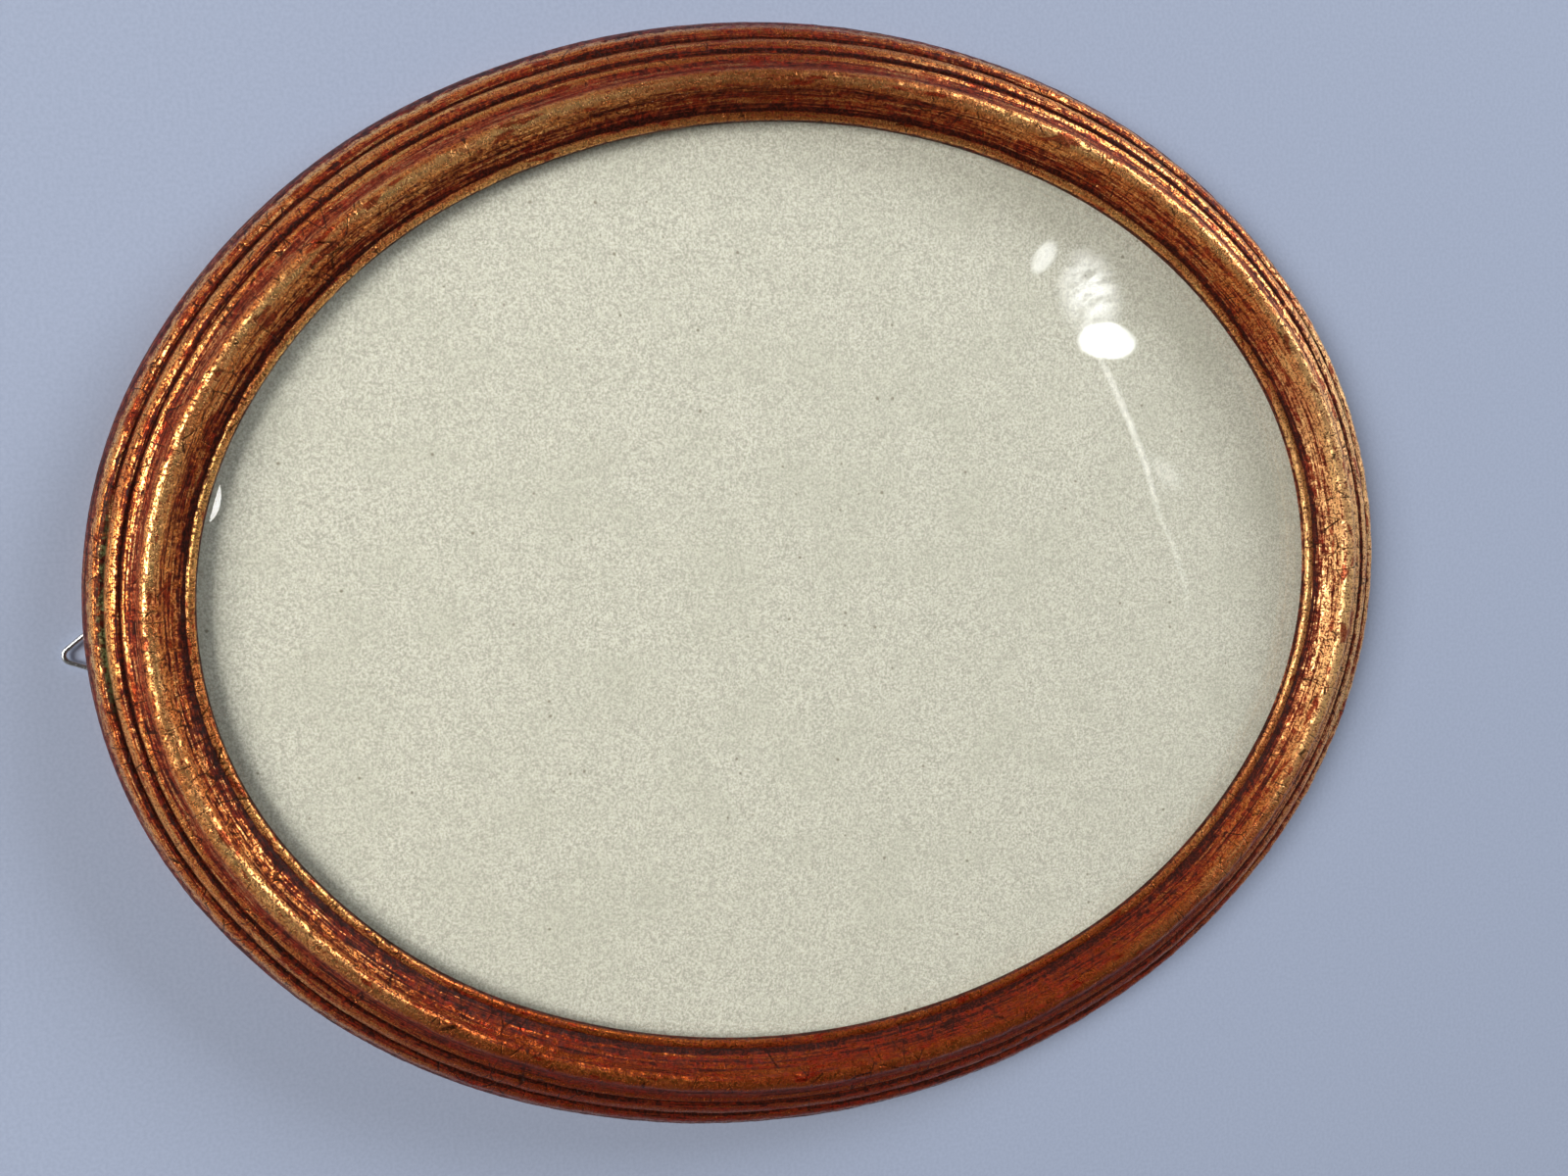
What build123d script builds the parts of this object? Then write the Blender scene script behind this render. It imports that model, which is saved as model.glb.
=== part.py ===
"""Oval picture frame with domed glass, lying on its back with its face up.

+Y points to the top of the picture, where the hanging ring is, +X to the
viewer's right and +Z out of the face. The origin is the middle of the oval, on
the plane of the frame's back. Lengths are millimetres.
"""

from math import cos, degrees, pi, radians, sin, sqrt, tan
import os

from build123d import *

# Outline of the frame and width of the moulding
outline_length = 300.0
outline_width = 250.8
moulding_width = 23.05

# The oval is drawn with three radii on each quarter. An end is rounder than the
# side by a power of the oval's proportions, which would be 1 for an ellipse.
oval_power_share = 0.89
shoulder_share = 0.45

# Face of the moulding: the crest stands this high over the shelf of the rabbet
face_rise = 8.6
rabbet_width = 5.0

# Glass, card and back panel in the rabbet
glazing_clearance = 0.5
glass_thickness = 2.0
glass_edge_height = 1.7
glass_rise = 14.0
glass_gap = 0.15
card_thickness = 2.0
panel_thickness = 3.2

# Finger joints between the four wooden segments
joint_angle = 40.0
finger_count = 4
finger_length = 8.0
finger_margin = 1.8

# Turn buttons and their countersunk screws
button_angle = 60.0
button_inset = 9.5
button_reach = 14.6
button_tail = 5.4
button_hub_radius = 4.6
button_tip_radius = 3.2
button_thickness = 2.5
button_edge = 0.4
button_gap = 0.1
screw_clearance = 0.06
screw_shank_radius = 1.45
screw_head_radius = 2.9
screw_head_recess = 0.15
screw_depth = 8.0
slot_width = 0.7
slot_depth = 0.6

# Wire ring that the frame hangs by
ring_wire = 1.1
ring_setback = 6.5
ring_projection = 5.0
ring_apex_radius = 1.6
ring_corner_radius = 1.5
ring_half_angle = 30.0

# Folded strap that holds the ring, and its screw: a little askew, as put on by hand
strap_thickness = 0.5
strap_width = 8.0
strap_length = 10.2
strap_clearance = 0.05
strap_joggle = 1.4
strap_corner = 1.5
hanger_screw_inset = 12.8
hanger_slip = 0.9
hanger_turn = 7.2
hanger_screw_radius = 1.2
hanger_head_radius = 2.4
hanger_head_height = 1.1

# Depth that cuts run past what they cut
overrun = 1.0

# The three arcs of a quarter of the oval: end, shoulder and side
long_half = outline_length / 2
short_half = outline_width / 2
end_radius = short_half * (short_half / long_half) ** oval_power_share
side_radius = long_half * (long_half / short_half) ** oval_power_share
shoulder_radius = end_radius + shoulder_share * (side_radius - end_radius)
end_centre = Vector(0, long_half - end_radius)
side_centre = Vector(short_half - side_radius, 0)

# The shoulder's centre lies where it makes both arcs meet without a corner
centre_line = side_centre - end_centre
end_reach = shoulder_radius - end_radius
side_reach = side_radius - shoulder_radius
along = (end_reach**2 - side_reach**2 + centre_line.length**2) / (2 * centre_line.length)
across = sqrt(end_reach**2 - along**2)
line_unit = centre_line.normalized()
shoulder_centre = end_centre + line_unit * along + line_unit.rotate(Axis.Z, 90) * across


def bearing(start, end, reach):
    """Direction from start to end, in degrees from the long axis: back if the reach is."""
    return Vector(0, 1).get_signed_angle((end - start) / reach, Vector(0, 0, -1))


end_angle = bearing(shoulder_centre, end_centre, end_reach)
side_angle = bearing(side_centre, shoulder_centre, side_reach)

# Depths of the glass, card and panel behind the sight edge
rabbet_inset = moulding_width - rabbet_width
glazing_inset = rabbet_inset + glazing_clearance
glass_long_half = long_half - glazing_inset
glass_short_half = short_half - glazing_inset
dome_radius = (glass_long_half**2 + glass_rise**2) / (2 * glass_rise)
card_back = panel_thickness
card_face = card_back + card_thickness
glass_shoulder = card_face + glass_edge_height
glass_top = glass_shoulder + glass_rise
sight_share = (short_half - moulding_width) / glass_short_half
dome_drop = dome_radius - sqrt(dome_radius**2 - (sight_share * glass_long_half) ** 2)
rabbet_depth = glass_top - dome_drop + glass_gap
crest_height = rabbet_depth + face_rise

# Outer face of the moulding: inset as a share of the moulding's width, height
# as a share of the crest's height, and how far the stretch that ends there
# swells, as a share of the width. A hollow stretch has a share under zero.
outer_face_shares = (
    (0.123, 0.435, 0.024),
    (0.230, 0.530, 0.020),
    (0.249, 0.506, 0.0),
    (0.265, 0.590, 0.0),
    (0.386, 0.700, 0.018),
    (0.405, 0.676, 0.0),
    (0.421, 0.732, 0.0),
    (0.482, 0.765, 0.0),
    (0.581, 0.935, -0.018),
)

# Inner face, from the crest to the sight edge: the same, with the heights as
# shares of the rise from the shelf to the crest
inner_face_shares = (
    (0.750, 0.883, 0.046),
    (0.907, 0.294, -0.028),
    (0.922, 0.224, 0.0),
    (1.0, 0.172, 0.022),
)

# Pivot line of the ring
ring_axis_y = long_half - ring_setback
loop_radius = ring_wire / 2 + strap_clearance
ring_axis_z = -(strap_thickness + loop_radius)


def outward(angle):
    """Unit vector square to the oval at an angle from the long axis."""
    return Vector(sin(radians(angle)), cos(radians(angle)))


def oval_point(angle, inset):
    """Point of the shoulder arc, moved inwards from the outline."""
    return shoulder_centre + outward(angle) * (shoulder_radius - inset)


def oval_board(bottom, thickness):
    """Flat board of the oval that fits in the rabbet, everywhere clear of its wall."""
    with BuildPart() as board:
        with BuildSketch(Plane.XY.offset(bottom)):
            with BuildLine():
                CenterArc(end_centre, end_radius - glazing_inset, 90 - end_angle, end_angle)
                CenterArc(
                    shoulder_centre, shoulder_radius - glazing_inset,
                    90 - side_angle, side_angle - end_angle,
                )
                CenterArc(side_centre, side_radius - glazing_inset, 0, 90 - side_angle)
                mirror(about=Plane.YZ)
                mirror(about=Plane.XZ)
            make_face()
        extrude(amount=thickness)
    return board.part


def moulding_arc(centre, radius, start, end):
    """Moulding along one arc of the outline: its section turned between two angles."""
    section_plane = Plane(centre, x_dir=outward(end), z_dir=outward(end).cross(Vector(0, 0, 1)))
    wall = radius - rabbet_inset
    sight = radius - moulding_width
    stretches = [(inset, height * crest_height, swell) for inset, height, swell in outer_face_shares]
    for inset, height, swell in inner_face_shares:
        stretches.append((inset, rabbet_depth + height * face_rise, swell))
    with BuildPart() as arc:
        with BuildSketch(section_plane):
            with BuildLine():
                last = (radius, 0)
                for inset, height, swell in stretches:
                    corner = (radius - inset * moulding_width, height)
                    if swell:
                        SagittaArc(last, corner, -swell * moulding_width)
                    else:
                        Line(last, corner)
                    last = corner
                Polyline(last, (sight, rabbet_depth), (wall, rabbet_depth), (wall, 0), (radius, 0))
            make_face()
        revolve(axis=Axis(centre, (0, 0, 1)), revolution_arc=end - start)
    return arc.part


def finger_waste(side):
    """Waste beyond the joint's zigzag of fingers: 1 is towards the end of the oval."""
    finger_width = (rabbet_inset - 2 * finger_margin) / finger_count
    joint_plane = Plane(shoulder_centre, x_dir=outward(joint_angle), z_dir=(0, 0, 1))
    first = shoulder_radius - finger_margin
    outer = shoulder_radius + overrun
    inner = shoulder_radius - moulding_width - overrun
    outline = [(outer, 0), (first, 0)]
    for number in range(finger_count):
        depth = finger_length / 2 * (-1) ** number
        outline.append((first - number * finger_width, depth))
        outline.append((first - (number + 1) * finger_width, depth))
    outline.append((first - finger_count * finger_width, 0))
    outline.append((inner, 0))
    outline.append((inner, side * 2 * finger_length))
    outline.append((outer, side * 2 * finger_length))
    with BuildPart() as waste:
        with BuildSketch(joint_plane.offset(-overrun)):
            with BuildLine():
                Polyline(*outline, close=True)
            make_face()
        extrude(amount=crest_height + 2 * overrun)
    return waste.part


def from_behind(point):
    """Place on the frame's back, looking into the wood."""
    return Location((point.X, point.Y, 0), (180, 0, 0))


# Angle by which a segment runs past its joint before the fingers are cut
joint_excess = degrees(finger_length / shoulder_radius)
button_point = oval_point(button_angle, button_inset)

# The hanger is drawn straight on the long axis, then turned about its screw
drawn_screw_point = Vector(0, long_half - hanger_screw_inset)
hanger_screw_point = drawn_screw_point - Vector(hanger_slip, 0)
hanger_place = Location(hanger_screw_point, (0, 0, hanger_turn)) * Location(-drawn_screw_point)


def end_segment(with_hanger):
    """Wooden segment at one end of the long axis, drawn at the top."""
    end_arc = moulding_arc(end_centre, end_radius, 0, end_angle)
    shoulder_arc = moulding_arc(shoulder_centre, shoulder_radius, end_angle, joint_angle + joint_excess)
    waste = finger_waste(-1)
    with BuildPart() as segment:
        add(end_arc)
        add(shoulder_arc)
        add(waste, mode=Mode.SUBTRACT)
        mirror(about=Plane.YZ)
        if with_hanger:
            with Locations(from_behind(hanger_screw_point)):
                Hole(hanger_screw_radius + screw_clearance, depth=screw_depth + overrun)
    return segment.part


def side_segment():
    """Wooden segment at one side, drawn at the right."""
    side_arc = moulding_arc(side_centre, side_radius, side_angle, 90)
    shoulder_arc = moulding_arc(shoulder_centre, shoulder_radius, joint_angle - joint_excess, side_angle)
    waste = finger_waste(1)
    with BuildPart() as segment:
        add(side_arc)
        add(shoulder_arc)
        add(waste, mode=Mode.SUBTRACT)
        with Locations(from_behind(button_point)):
            Hole(screw_shank_radius + screw_clearance, depth=screw_depth + overrun)
        mirror(about=Plane.XZ)
    return segment.part


def domed_glass():
    """Convex glass with a narrow ground rim that lies on the card."""
    squash = (glass_short_half / glass_long_half, 1, 1)
    dome = scale(Sphere(dome_radius), by=squash)
    upper = Pos(0, 0, glass_top - dome_radius) * dome
    hollow = Pos(0, 0, glass_top - glass_thickness - dome_radius) * dome
    blank = oval_board(card_face, glass_edge_height + glass_rise + overrun)
    with BuildPart() as glass:
        add(blank)
        add(upper, mode=Mode.INTERSECT)
        add(hollow, mode=Mode.SUBTRACT)
    return glass.part


def quarter_places(point):
    """The same place on all four quarters of the oval, with its quarter's name."""
    names = ("upper_right", "upper_left", "lower_left", "lower_right")
    signs = ((1, 1), (-1, 1), (-1, -1), (1, -1))
    return [(name, Vector(point.X * x, point.Y * y)) for name, (x, y) in zip(names, signs)]


def button_plane(point):
    """Plane of a turn button on the back, with its arm towards the panel."""
    normal = outward(button_angle)
    inward = Vector(-normal.X if point.X > 0 else normal.X, -normal.Y if point.Y > 0 else normal.Y)
    return Plane((point.X, point.Y, -button_gap), x_dir=inward, z_dir=(0, 0, -1))


def turn_button(point):
    """Brass turn button: a long arm over the panel and a short tail."""
    tip = button_reach - button_tip_radius
    tail = button_tip_radius - button_tail
    sink_radius = screw_head_radius + screw_head_recess + screw_clearance
    seat = button_plane(point)
    with BuildPart(seat) as button:
        with BuildSketch(seat):
            Circle(button_hub_radius)
            with Locations((tip, 0), (tail, 0)):
                Circle(button_tip_radius)
            make_hull()
        extrude(amount=button_thickness - button_gap)
        chamfer(button.faces().sort_by(Axis.Z)[0].outer_wire().edges(), length=button_edge)
        with Locations((0, 0, button_thickness - button_gap)):
            CounterSinkHole(screw_shank_radius + screw_clearance, sink_radius, counter_sink_angle=90)
    return button.part


def countersunk_screw(point):
    """Countersunk wood screw through a turn button, with its slot."""
    head = -(button_thickness - screw_head_recess)
    neck = head + screw_head_radius - screw_shank_radius
    tip = screw_depth - screw_shank_radius
    with BuildPart() as screw:
        with BuildSketch(Plane.XZ):
            with BuildLine():
                Polyline(
                    (0, head), (screw_head_radius, head), (screw_shank_radius, neck),
                    (screw_shank_radius, tip), (0, screw_depth), close=True,
                )
            make_face()
        revolve(axis=Axis.Z)
        with BuildSketch(Plane.XY.offset(head)):
            Rectangle(2 * (screw_head_radius + overrun), slot_width)
        extrude(amount=slot_depth, mode=Mode.SUBTRACT)
    return Pos(point.X, point.Y) * screw.part


def hanger_screw():
    """Round-headed wood screw through the strap, with its slot."""
    seat = -2 * strap_thickness
    head = seat - hanger_head_height
    tip = screw_depth - hanger_screw_radius
    with BuildPart() as screw:
        with BuildSketch(Plane.XZ):
            with BuildLine():
                ThreePointArc(
                    (0, head),
                    (hanger_head_radius * sin(pi / 4), seat - hanger_head_height * cos(pi / 4)),
                    (hanger_head_radius, seat),
                )
                Polyline(
                    (hanger_head_radius, seat), (hanger_screw_radius, seat),
                    (hanger_screw_radius, tip), (0, screw_depth), (0, head),
                )
            make_face()
        revolve(axis=Axis.Z)
        with BuildSketch(Plane.XY.offset(head)):
            Rectangle(2 * hanger_head_radius, slot_width)
        extrude(amount=slot_depth, mode=Mode.SUBTRACT)
    return hanger_place * Pos(drawn_screw_point) * screw.part


def hanger_strap():
    """Sheet strap folded round the ring's wire, its two layers flat on the wood."""
    fold_radius = loop_radius + strap_thickness
    layers = -2 * strap_thickness
    inner_end = ring_axis_y - strap_length
    joggle_end = ring_axis_y - strap_joggle
    with BuildPart() as strap:
        with BuildSketch(Plane.YZ):
            with BuildLine():
                fold = CenterArc((ring_axis_y, ring_axis_z), fold_radius, 90, -180)
                Polyline(fold @ 1, (joggle_end, layers), (inner_end, layers), (inner_end, 0), fold @ 0)
            make_face()
            with Locations((ring_axis_y, ring_axis_z)):
                Circle(loop_radius, mode=Mode.SUBTRACT)
            with BuildLine():
                Polyline(
                    (ring_axis_y, -strap_thickness),
                    (ring_axis_y, ring_axis_z - loop_radius),
                    (joggle_end, -strap_thickness),
                    close=True,
                )
            make_face(mode=Mode.SUBTRACT)
        extrude(amount=strap_width / 2, both=True)
        corners = strap.edges().filter_by(Axis.Z).group_by(Axis.Y)[0]
        fillet(corners, radius=strap_corner)
        with Locations(from_behind(drawn_screw_point)):
            Hole(hanger_screw_radius + screw_clearance)
    return hanger_place * strap.part


def hanger_ring():
    """Closed wire triangle with rounded corners, lying flat and outwards."""
    apex = ring_setback + ring_projection - ring_wire / 2
    sharp = apex + ring_apex_radius * (1 / sin(radians(ring_half_angle)) - 1)
    base_half = sharp * tan(radians(ring_half_angle))
    lying = Plane((0, ring_axis_y, ring_axis_z))
    with BuildPart() as ring:
        with BuildLine(lying) as path:
            FilletPolyline(
                (0, 0), (base_half, 0), (0, sharp), (-base_half, 0), (0, 0),
                radius=(0, ring_corner_radius, ring_apex_radius, ring_corner_radius),
                close=True,
            )
        with BuildSketch(Plane(lying.origin, z_dir=(1, 0, 0))):
            Circle(ring_wire / 2)
        sweep(path=path.wires()[0])
    return hanger_place * ring.part


def write(part, name):
    """Label a finished piece and write its file."""
    part.label = name
    export_step(part, f"parts/{name}.step")


os.makedirs("parts", exist_ok=True)

top = end_segment(with_hanger=True)
bottom = mirror(end_segment(with_hanger=False), about=Plane.XZ)
right = side_segment()
left = mirror(right, about=Plane.YZ)
write(top, "moulding_top")
write(right, "moulding_right")
write(bottom, "moulding_bottom")
write(left, "moulding_left")

write(domed_glass(), "domed_glass")
write(oval_board(card_back, card_thickness), "backing_card")
write(oval_board(0, panel_thickness), "back_panel")

for name, place in quarter_places(button_point):
    write(turn_button(place), f"turn_button_{name}")
screws = [countersunk_screw(place) for name, place in quarter_places(button_point)]
write(Compound(children=screws), "turn_button_screws")

write(hanger_strap(), "hanger_strap")
write(hanger_ring(), "hanger_ring")
write(hanger_screw(), "hanger_screw")
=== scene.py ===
"""Oval picture frame with domed glass, lying on its back: its looks.

The moulding's section is drawn once and turned round the oval's arcs, then worn
and cut into its four segments. Lengths are metres. +Y points to the top of the
picture, where the hanging ring is, and +Z out of the face.
"""

import bpy
import math
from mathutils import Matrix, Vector


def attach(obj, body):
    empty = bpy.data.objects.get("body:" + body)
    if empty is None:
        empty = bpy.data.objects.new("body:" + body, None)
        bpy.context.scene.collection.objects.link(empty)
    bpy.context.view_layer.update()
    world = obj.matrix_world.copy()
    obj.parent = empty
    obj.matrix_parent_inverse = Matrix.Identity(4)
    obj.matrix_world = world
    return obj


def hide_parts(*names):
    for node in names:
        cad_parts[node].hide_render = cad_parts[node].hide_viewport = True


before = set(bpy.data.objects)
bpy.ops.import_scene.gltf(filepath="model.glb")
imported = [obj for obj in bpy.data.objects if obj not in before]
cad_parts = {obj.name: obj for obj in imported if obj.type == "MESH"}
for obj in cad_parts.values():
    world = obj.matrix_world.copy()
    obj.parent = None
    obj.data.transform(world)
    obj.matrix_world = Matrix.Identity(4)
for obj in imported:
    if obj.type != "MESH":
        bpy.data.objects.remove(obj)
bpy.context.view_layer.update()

# Outline of the oval and width of the moulding, as in the solid model
MM = 0.001
LONG_HALF = 150.0 * MM
SHORT_HALF = 125.4 * MM
MOULDING_WIDTH = 23.05 * MM
OVAL_POWER = 0.89
SHOULDER_SHARE = 0.45

# Heights of the moulding's shelf and crest over the back
SHELF_HEIGHT = 8.2165 * MM
CREST_HEIGHT = 16.8165 * MM
FACE_RISE = CREST_HEIGHT - SHELF_HEIGHT
RABBET_INSET = 18.05 * MM
RUBBED_FOOT = 0.04 * MM

# Finger joints between the segments
JOINT_ANGLE = 40.0
FINGER_COUNT = 4
FINGER_LENGTH = 8.0 * MM
FINGER_MARGIN = 1.8 * MM

# Domed glass, with the spare rim that its trimming takes off
GLASS_INSET = 18.55 * MM
GLASS_TOP = 20.9 * MM
GLASS_RISE = 14.0 * MM
GLASS_THICKNESS = 2.0 * MM
GLASS_SPARE = 2.0 * MM
CARD_FACE = 5.2 * MM

# Spacing of the points on the moulding, across its face and round the oval, and on
# the glass
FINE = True
FACE_STEP = 0.33 * MM if FINE else 0.8 * MM
ROUND_STEP = 2.0 * MM if FINE else 3.0 * MM
ROUND_CUTS = 3 if FINE else 1
RIM_STEP = 1.2 * MM
GLASS_RINGS = 48 if FINE else 16
GLASS_STEPS = 192 if FINE else 64

# Points that agree in this many digits are at one place
PLACE_DIGITS = 7
SAME_PLACE = 10 ** -PLACE_DIGITS

# The floor touches the turn buttons under the frame
FLOOR_HEIGHT = -2.5 * MM
FLOOR_SIZE = 5.0

# Outer face of the moulding: inset as a share of the width, height as a share of
# the crest's, swell of the stretch that ends there, and how deep wear goes there
OUTER_FACE = (
    (0.123, 0.435, 0.024, 0.7),
    (0.230, 0.530, 0.020, 0.7),
    (0.249, 0.506, 0.0, 0.1),
    (0.265, 0.590, 0.0, 0.5),
    (0.386, 0.700, 0.018, 0.6),
    (0.405, 0.676, 0.0, 0.1),
    (0.421, 0.732, 0.0, 0.4),
    (0.482, 0.765, 0.0, 0.5),
    (0.581, 0.935, -0.018, 0.7),
)

# Inner face, from the crest to the sight edge, with heights as shares of the rise
INNER_FACE = (
    (0.750, 0.883, 0.046, 0.9),
    (0.907, 0.294, -0.028, 0.7),
    (0.922, 0.224, 0.0, 0.1),
    (1.0, 0.172, 0.022, 0.5),
)
FACE_STRETCHES = len(OUTER_FACE) + len(INNER_FACE)
GILDED_STRETCHES = FACE_STRETCHES + 1


# The oval: its arcs and the places on it

def outward(angle):
    """Unit vector square to the oval, at an angle clockwise from the top."""
    return Vector((math.sin(math.radians(angle)), math.cos(math.radians(angle)), 0))


def oval_arcs():
    """The eight arcs of the outline: centre, radius, first angle and last angle."""
    end_radius = SHORT_HALF * (SHORT_HALF / LONG_HALF) ** OVAL_POWER
    side_radius = LONG_HALF * (LONG_HALF / SHORT_HALF) ** OVAL_POWER
    shoulder_radius = end_radius + SHOULDER_SHARE * (side_radius - end_radius)
    end = Vector((0, LONG_HALF - end_radius, 0))
    side = Vector((SHORT_HALF - side_radius, 0, 0))
    line = side - end
    end_reach = shoulder_radius - end_radius
    side_reach = side_radius - shoulder_radius
    along = (end_reach ** 2 - side_reach ** 2 + line.length_squared) / (2 * line.length)
    unit = line.normalized()
    across = Vector((-unit.y, unit.x, 0)) * math.sqrt(end_reach ** 2 - along ** 2)
    shoulder = end + unit * along + across
    to_end = end - shoulder
    to_shoulder = shoulder - side
    end_angle = math.degrees(math.atan2(to_end.x, to_end.y))
    side_angle = math.degrees(math.atan2(to_shoulder.x, to_shoulder.y))
    arcs = []
    for start, x, y in ((0, 1, 1), (180, -1, -1)):
        arcs.append((Vector((0, end.y * y, 0)), end_radius, start - end_angle, start + end_angle))
        arcs.append((Vector((shoulder.x * x, shoulder.y * y, 0)), shoulder_radius,
                     start + end_angle, start + side_angle))
        arcs.append((Vector((side.x * x, 0, 0)), side_radius,
                     start + side_angle, start + 180 - side_angle))
        arcs.append((Vector((shoulder.x * x, -shoulder.y * y, 0)), shoulder_radius,
                     start + 180 - side_angle, start + 180 - end_angle))
    return arcs


ARCS = oval_arcs()
SHOULDER_RADIUS = ARCS[1][1]
SIDE_ANGLE = ARCS[1][3]
END_ANGLE = ARCS[0][3]


def arcs_between(start, end):
    """The outline's arcs between two angles, cut off at both."""
    found = []
    for turn in (-360, 0, 360):
        for centre, radius, first, last in ARCS:
            first = max(first + turn, start)
            last = min(last + turn, end)
            if last - first > 0.001:
                found.append((centre, radius, first, last))
    return found


def outline_runs():
    """Each arc from the top round: first angle, last angle, radius and run so far."""
    runs, run = [], 0.0
    for centre, radius, first, last in arcs_between(0, 360):
        runs.append((first, last, radius, run))
        run += radius * math.radians(last - first)
    return runs, run


RUNS, RING_LENGTH = outline_runs()


def round_distance(angle):
    """Length of the outline from the top to an angle, clockwise."""
    if angle < 0:
        return -round_distance(-angle)
    first, last, radius, run = next(row for row in RUNS if angle <= row[1] + 1e-6)
    return run + radius * math.radians(angle - first)


def angle_at(x, y):
    """Angle of the line square to the oval through a point, from 0 to 90 in its quarter."""
    x, y = abs(x), abs(y)
    from_end = math.degrees(math.atan2(x, y - ARCS[0][0].y))
    if y > ARCS[0][0].y and from_end <= END_ANGLE:
        return from_end
    from_side = math.degrees(math.atan2(x - ARCS[2][0].x, y))
    if from_side >= SIDE_ANGLE:
        return from_side
    centre = ARCS[1][0]
    return math.degrees(math.atan2(x - centre.x, y - centre.y))


def full_angle(x, y, from_top):
    """Angle of a point all the way round, from -180 to 180 where the piece crosses the top."""
    angle = angle_at(x, y)
    if y < 0:
        angle = 180 - angle
    if x < 0:
        angle = -angle if from_top else 360 - angle
    return angle


# The section of the moulding

def arc_points(start, end, swell, count):
    """Points after start up to end on a shallow arc, given as inset and height."""
    chord = end - start
    if swell == 0:
        return [start + chord * (step + 1) / count for step in range(count)]
    normal = Vector((-chord.y, chord.x)).normalized()
    radius = (chord.length_squared / 4 + swell ** 2) / (2 * abs(swell))
    side = math.copysign(1, swell)
    centre = (start + end) / 2 + normal * (swell - side * radius)
    half = math.asin(chord.length / (2 * radius))
    points = []
    for step in range(count):
        turn = half * (2 * (step + 1) / count - 1)
        rise = normal * side * radius * math.cos(turn)
        points.append(centre + rise + chord.normalized() * radius * math.sin(turn))
    return points


def section_points():
    """The section's points: place, stretch, distance across and depth of wear."""
    corners = [(Vector((inset * MOULDING_WIDTH, height * CREST_HEIGHT)), swell, wear)
               for inset, height, swell, wear in OUTER_FACE]
    for inset, height, swell, wear in INNER_FACE:
        place = Vector((inset * MOULDING_WIDTH, SHELF_HEIGHT + height * FACE_RISE))
        corners.append((place, swell, wear))
    corners.append((Vector((MOULDING_WIDTH, SHELF_HEIGHT)), 0, 0))
    last, last_wear, across = Vector((RUBBED_FOOT, 0)), 0.0, 0.0
    points = [(last, 0.0, 0.0, 0.0)]
    for number, (corner, swell, wear) in enumerate(corners):
        length = (corner - last).length
        count = max(2, round(length / FACE_STEP))
        for step, place in enumerate(arc_points(last, corner, swell * MOULDING_WIDTH, count)):
            share = (step + 1) / count
            depth = last_wear + share * (wear - last_wear)
            points.append((place, number + share, across + share * length, depth))
        last, last_wear, across = corner, wear, across + length
    hidden = (
        ((RABBET_INSET + MOULDING_WIDTH) / 2, SHELF_HEIGHT), (RABBET_INSET, SHELF_HEIGHT),
        (RABBET_INSET, SHELF_HEIGHT / 2), (RABBET_INSET, 0),
        (RABBET_INSET * 2 / 3, 0), (RABBET_INSET / 3, 0),
    )
    for inset, height in hidden:
        points.append((Vector((inset, height)), GILDED_STRETCHES + 1.0, across, 0.0))
    return points


# Modelling

def only(piece):
    """Leave nothing but this piece selected, and active."""
    bpy.ops.object.select_all(action="DESELECT")
    piece.select_set(True)
    bpy.context.view_layer.objects.active = piece
def mode(name):
    """Go to edit mode or back to object mode."""
    bpy.ops.object.mode_set(mode=name)


def edit_whole():
    """Edit the active piece, with all of it selected."""
    mode("EDIT")
    bpy.ops.mesh.select_all(action="SELECT")


def end_edit():
    """Turn all faces outwards and end the editing."""
    bpy.ops.mesh.select_all(action="SELECT")
    bpy.ops.mesh.normals_make_consistent(inside=False)
    mode("OBJECT")


def select_points(piece, places):
    """Select the vertices at these places and nothing else."""
    wanted = [Vector(place) for place in places]
    for vertex in piece.data.vertices:
        vertex.select = any((vertex.co - place).length < SAME_PLACE for place in wanted)
    for edge in piece.data.edges:
        edge.select = all(piece.data.vertices[end].select for end in edge.vertices)
    for face in piece.data.polygons:
        face.select = False


def select_runs(piece):
    """Select the edges that run level round the oval, and nothing else."""
    mesh = piece.data
    height = [vertex.co.z for vertex in mesh.vertices]
    across, stretch = [[value.value for value in mesh.attributes[label].data]
                       for label in ("across", "stretch")]
    for part in (*mesh.polygons, *mesh.vertices):
        part.select = False
    for edge in mesh.edges:
        one, other = edge.vertices
        edge.select = (abs(height[one] - height[other]) < SAME_PLACE
                       and across[one] == across[other] and stretch[one] == stretch[other])


def plane(name, size):
    """Square plane about the middle, selected and active."""
    bpy.ops.object.select_all(action="DESELECT")
    bpy.ops.mesh.primitive_plane_add(size=size)
    piece = bpy.context.object
    piece.name = piece.data.name = name
    return piece


def drawn_loop(name, places):
    """A closed line of points, each extruded from the one before it."""
    piece = plane(name, MM)
    while piece.data.uv_layers:
        piece.data.uv_layers.remove(piece.data.uv_layers[0])
    edit_whole()
    bpy.ops.mesh.merge(type="CENTER")
    bpy.ops.transform.translate(value=places[0])
    for here, there in zip(places, places[1:]):
        bpy.ops.mesh.extrude_vertices_move(TRANSFORM_OT_translate={"value": there - here})
    mode("OBJECT")
    select_points(piece, (places[0], places[-1]))
    mode("EDIT")
    bpy.ops.mesh.edge_face_add()
    mode("OBJECT")
    return piece


def upright_block(name, outline, height):
    """Block that stands on a flat outline."""
    block = drawn_loop(name, outline)
    edit_whole()
    bpy.ops.mesh.edge_face_add()
    bpy.ops.mesh.extrude_region_move(TRANSFORM_OT_translate={"value": (0, 0, height)})
    end_edit()
    return block


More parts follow.
